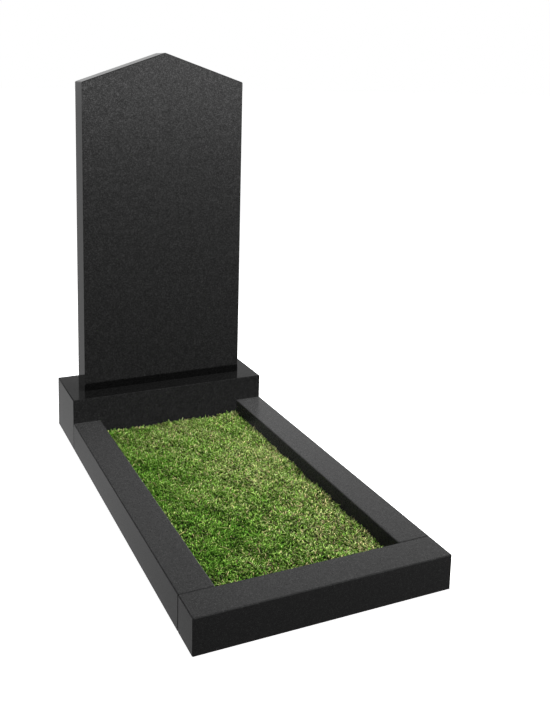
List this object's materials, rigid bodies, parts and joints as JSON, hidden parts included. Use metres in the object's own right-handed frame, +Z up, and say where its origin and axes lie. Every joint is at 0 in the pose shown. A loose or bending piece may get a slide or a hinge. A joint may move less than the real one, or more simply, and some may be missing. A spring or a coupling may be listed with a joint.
{
  "type": "headstone with plinth, kerbs and turf bed",
  "caption": "Upright gabled granite headstone on a plinth block, with a low kerb frame in front of it around a bed of short turf.",
  "frame": {"origin": "on the ground, at the middle of the whole footprint of plinth and kerbs", "axes": "+Z up, -Y towards the front kerb and the visitor who faces the headstone, +X to that visitor's right"},
  "size_m": [0.6, 1.15, 1.1497],
  "materials": {
    "polished_granite": "polished",
    "turf": "matte"
  },
  "bodies": {
    "root": {"stele": "polished_granite", "plinth": "polished_granite", "kerb_left": "polished_granite", "kerb_right": "polished_granite", "kerb_front": "polished_granite", "turf": "turf"}
  },
  "joints": []
}
